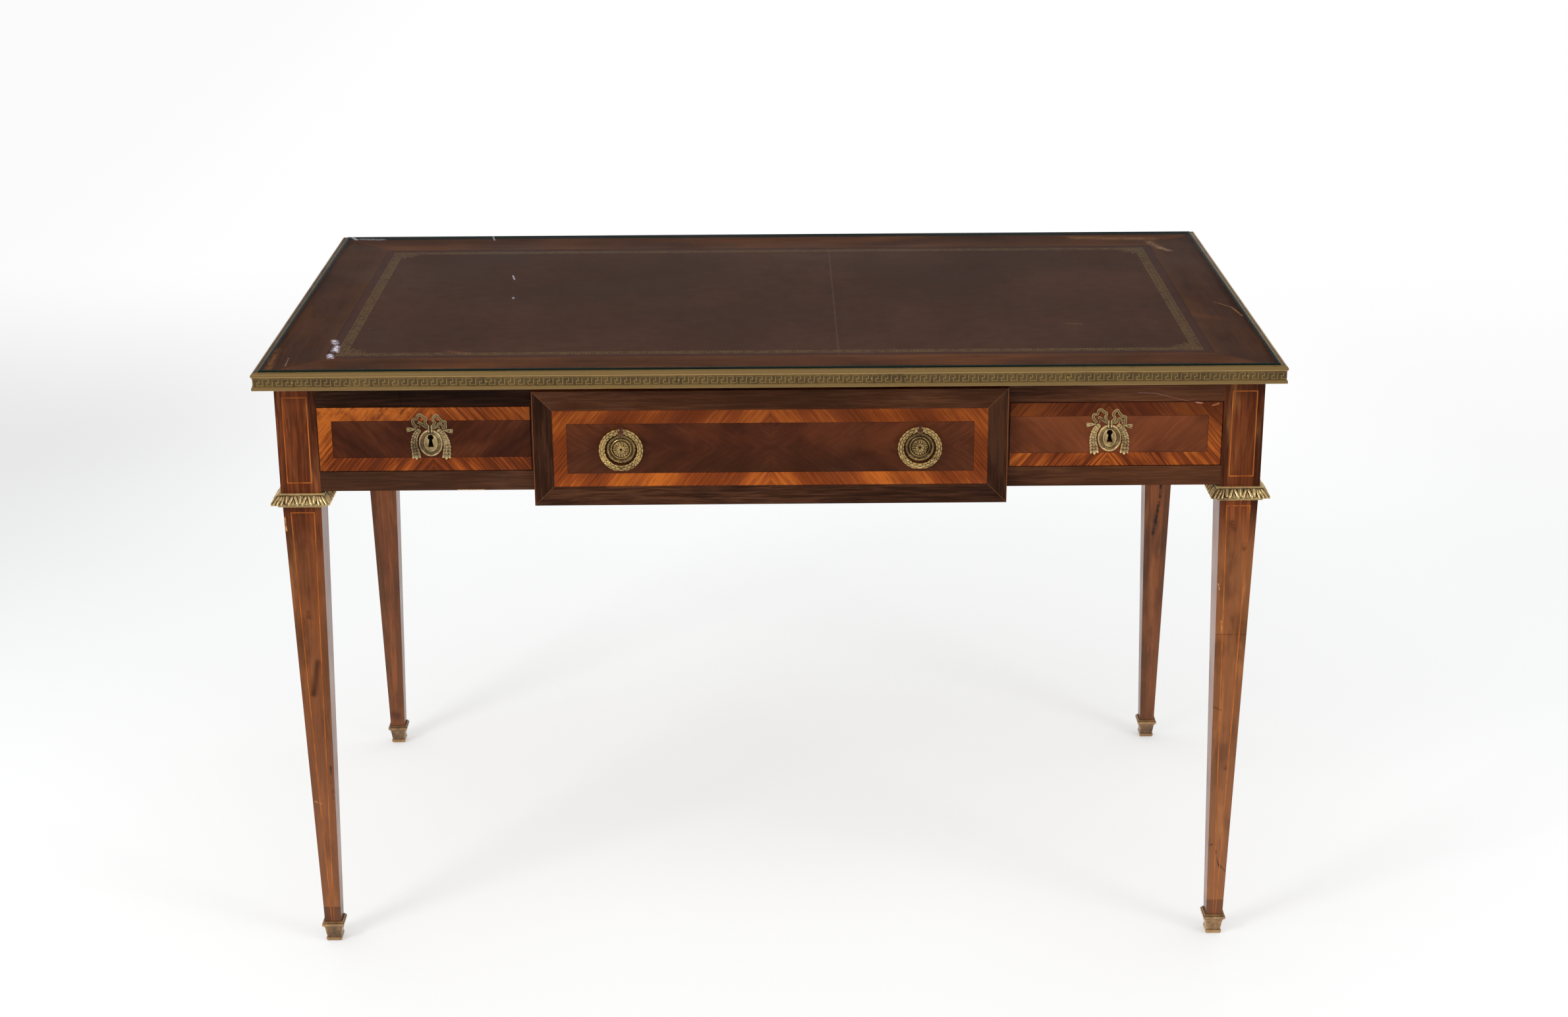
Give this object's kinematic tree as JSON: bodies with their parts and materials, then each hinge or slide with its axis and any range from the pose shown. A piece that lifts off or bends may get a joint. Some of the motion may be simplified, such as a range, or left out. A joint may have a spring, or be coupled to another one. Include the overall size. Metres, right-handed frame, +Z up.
{
  "type": "desk",
  "caption": "Flat-topped writing desk with a leather and glass top, frieze drawers, ring pulls, brass mounts and square tapered legs.",
  "frame": {"origin": "on the floor, under the middle of the desk", "axes": "+X to the right along the width, -Y to the front with the drawers, +Z up"},
  "size_m": [1.216, 0.706, 0.765],
  "materials": {
    "dark_veneer": "polished dark rosewood veneer",
    "leg_wood": "polished reddish-brown hardwood",
    "tulipwood_banding": "polished orange cross-banding",
    "light_stringing": "polished pale stringing",
    "drawer_oak": "plain oiled oak",
    "gilt_brass": "aged gilt brass, dark in the hollows",
    "oxblood_leather": "aged oxblood leather with gilt tooling",
    "clear_glass": "clear float glass with green edges",
    "steel": "dull iron and steel"
  },
  "bodies": {
    "frame": {"leg_front_left": "leg_wood", "leg_front_right": "leg_wood", "leg_back_left": "leg_wood", "leg_back_right": "leg_wood", "collar_front_left": "gilt_brass", "collar_front_right": "gilt_brass", "collar_back_left": "gilt_brass", "collar_back_right": "gilt_brass", "sabot_front_left": "gilt_brass", "sabot_front_right": "gilt_brass", "sabot_back_left": "gilt_brass", "sabot_back_right": "gilt_brass", "side_apron_left": "dark_veneer", "side_apron_right": "dark_veneer", "back_apron": "dark_veneer", "front_top_rail": "dark_veneer", "front_lower_rail": "dark_veneer", "drawer_dividers": "drawer_oak", "drawer_runners_and_guides": "drawer_oak", "drawer_kickers": "drawer_oak", "glue_blocks": "drawer_oak", "top_screws": "steel", "top_panel": "drawer_oak", "top_border_front": "dark_veneer", "top_border_back": "dark_veneer", "top_border_sides": "dark_veneer", "leather_inset": "oxblood_leather", "glass_sheet": "clear_glass", "edge_moulding_front": "gilt_brass", "edge_moulding_right": "gilt_brass", "edge_moulding_back": "gilt_brass", "edge_moulding_left": "gilt_brass", "moulding_pins": "gilt_brass", "stringing": "light_stringing"},
    "drawer_left": {"drawer_left_front": "dark_veneer", "drawer_left_sides_and_back": "drawer_oak", "drawer_left_bottom": "drawer_oak", "drawer_left_banding": "tulipwood_banding", "drawer_left_field": "dark_veneer", "escutcheon_left": "gilt_brass", "lock_case_left": "steel"},
    "drawer_right": {"drawer_right_front": "dark_veneer", "drawer_right_sides_and_back": "drawer_oak", "drawer_right_bottom": "drawer_oak", "drawer_right_banding": "tulipwood_banding", "drawer_right_field": "dark_veneer", "escutcheon_right": "gilt_brass", "lock_case_right": "steel"},
    "drawer_centre": {"drawer_centre_front": "dark_veneer", "drawer_centre_sides_and_back": "drawer_oak", "drawer_centre_bottom": "drawer_oak", "drawer_centre_border": "dark_veneer", "drawer_centre_banding": "tulipwood_banding", "drawer_centre_field": "dark_veneer", "pull_rosettes": "gilt_brass", "pull_posts": "gilt_brass"},
    "bolt_left": {"lock_bolt_left": "steel"},
    "ring_left": {"pull_ring_left": "gilt_brass"},
    "bolt_right": {"lock_bolt_right": "steel"},
    "ring_right": {"pull_ring_right": "gilt_brass"}
  },
  "joints": [
    {"name": "drawer_left_slide", "type": "slide", "parent": "frame", "child": "drawer_left", "axis": [0, -1, 0], "range_m": [0, 0.36]},
    {"name": "drawer_centre_slide", "type": "slide", "parent": "frame", "child": "drawer_centre", "axis": [0, -1, 0], "range_m": [0, 0.36]},
    {"name": "drawer_right_slide", "type": "slide", "parent": "frame", "child": "drawer_right", "axis": [0, -1, 0], "range_m": [0, 0.36]},
    {"name": "ring_left_swing", "type": "hinge", "parent": "drawer_centre", "child": "ring_left", "pos_m": [-0.177, -0.3476, 0.68795], "axis": [-1, 0, 0], "range_deg": [0, 90]},
    {"name": "ring_right_swing", "type": "hinge", "parent": "drawer_centre", "child": "ring_right", "pos_m": [0.177, -0.3476, 0.68795], "axis": [-1, 0, 0], "range_deg": [0, 90]},
    {"name": "bolt_left_throw", "type": "slide", "parent": "drawer_left", "child": "bolt_left", "axis": [0, 0, 1], "range_m": [0, 0.007]},
    {"name": "bolt_right_throw", "type": "slide", "parent": "drawer_right", "child": "bolt_right", "axis": [0, 0, 1], "range_m": [0, 0.007]}
  ]
}
